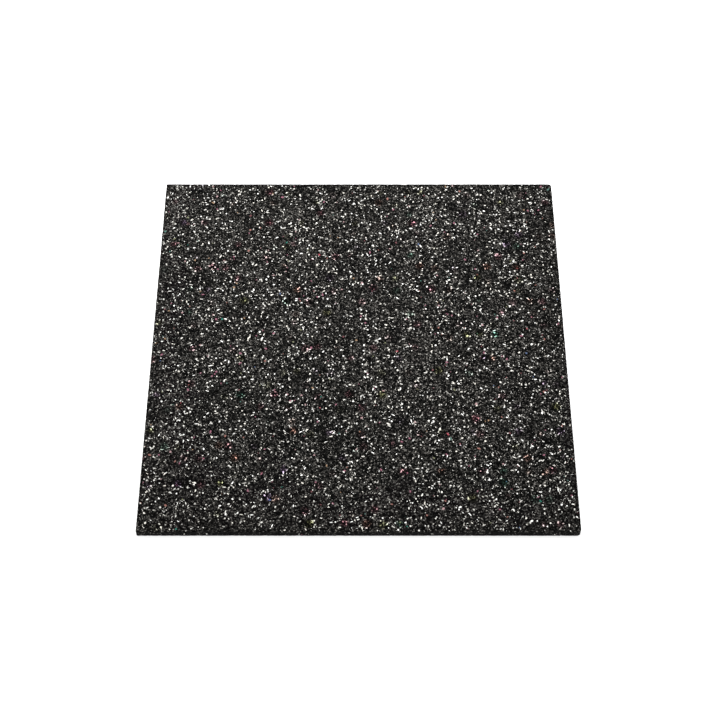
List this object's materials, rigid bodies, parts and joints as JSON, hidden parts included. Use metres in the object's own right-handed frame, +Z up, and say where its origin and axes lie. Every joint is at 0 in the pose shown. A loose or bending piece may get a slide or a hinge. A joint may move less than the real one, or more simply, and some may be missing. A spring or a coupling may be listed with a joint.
{
  "type": "rubber gym floor tile",
  "caption": "Square slab of pressed black rubber crumb flecked with pale granules, laid edge to edge as a gym floor.",
  "frame": {"origin": "middle of the underside, which lies on the floor", "axes": "+Z up through the thickness, +X towards the edge with the rounded corners, +Y away from the near edge"},
  "size_m": [0.5, 0.5, 0.01],
  "materials": {
    "black_crumb": "matte, granular, pressed charcoal black rubber crumb with open pores",
    "pale_granules": "matte white, grey and beige rubber granules set flush in the crumb",
    "coloured_granules": "matte red, pink, orange, olive, teal and blue rubber granules set flush in the crumb"
  },
  "bodies": {
    "root": {"rubber_tile": "black_crumb"}
  },
  "joints": []
}
